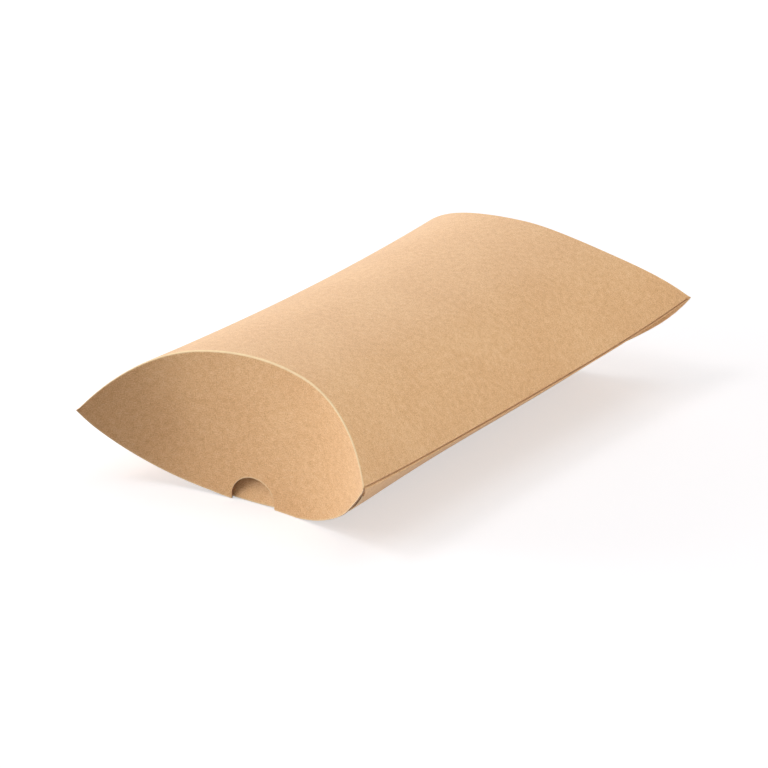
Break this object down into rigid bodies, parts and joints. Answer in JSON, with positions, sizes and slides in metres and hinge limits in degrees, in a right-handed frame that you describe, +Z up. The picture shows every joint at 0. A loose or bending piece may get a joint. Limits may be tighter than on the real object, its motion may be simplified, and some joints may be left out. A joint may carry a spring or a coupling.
{
  "type": "pillow box",
  "caption": "Kraft board pillow box: two bowed panels, a glued side seam, and at each end a curved outer flap with a thumb notch over a leaning inner flap.",
  "frame": {"origin": "bottom centre of the closed box's bounding box, on the surface it lies on", "axes": "+X across the width towards the glued seam, +Y along the length towards the rear end, +Z up"},
  "size_m": [0.0948, 0.169, 0.043],
  "materials": {
    "kraft_board": "uncoated brown kraft board, matt, fine fibres",
    "glue": "dry side-seam adhesive"
  },
  "bodies": {
    "shell": {"top_panel": "kraft_board", "bottom_panel": "kraft_board", "side_fold": "kraft_board", "seam_fold": "kraft_board", "glue_flap": "kraft_board", "glue_line": "glue"},
    "front_outer": {"front_outer_flap": "kraft_board"},
    "front_inner": {"front_inner_flap": "kraft_board"},
    "rear_outer": {"rear_outer_flap": "kraft_board"},
    "rear_inner": {"rear_inner_flap": "kraft_board"}
  },
  "joints": [
    {"name": "front_outer_crease", "type": "hinge", "parent": "shell", "child": "front_outer", "pos_m": [0, -0.0685, 0.043], "axis": [-1, 0, 0], "range_deg": [0, 90]},
    {"name": "front_inner_crease", "type": "hinge", "parent": "shell", "child": "front_inner", "pos_m": [0, -0.06765, 0], "axis": [1, 0, 0], "range_deg": [0, 105]},
    {"name": "rear_outer_crease", "type": "hinge", "parent": "shell", "child": "rear_outer", "pos_m": [0, 0.0685, 0.043], "axis": [1, 0, 0], "range_deg": [0, 90]},
    {"name": "rear_inner_crease", "type": "hinge", "parent": "shell", "child": "rear_inner", "pos_m": [0, 0.06765, 0], "axis": [-1, 0, 0], "range_deg": [0, 105]}
  ],
  "couplings": [
    {"joint": "front_inner_crease", "follows": "front_outer_crease", "ratio": 1.1666},
    {"joint": "rear_inner_crease", "follows": "rear_outer_crease", "ratio": 1.1666}
  ]
}
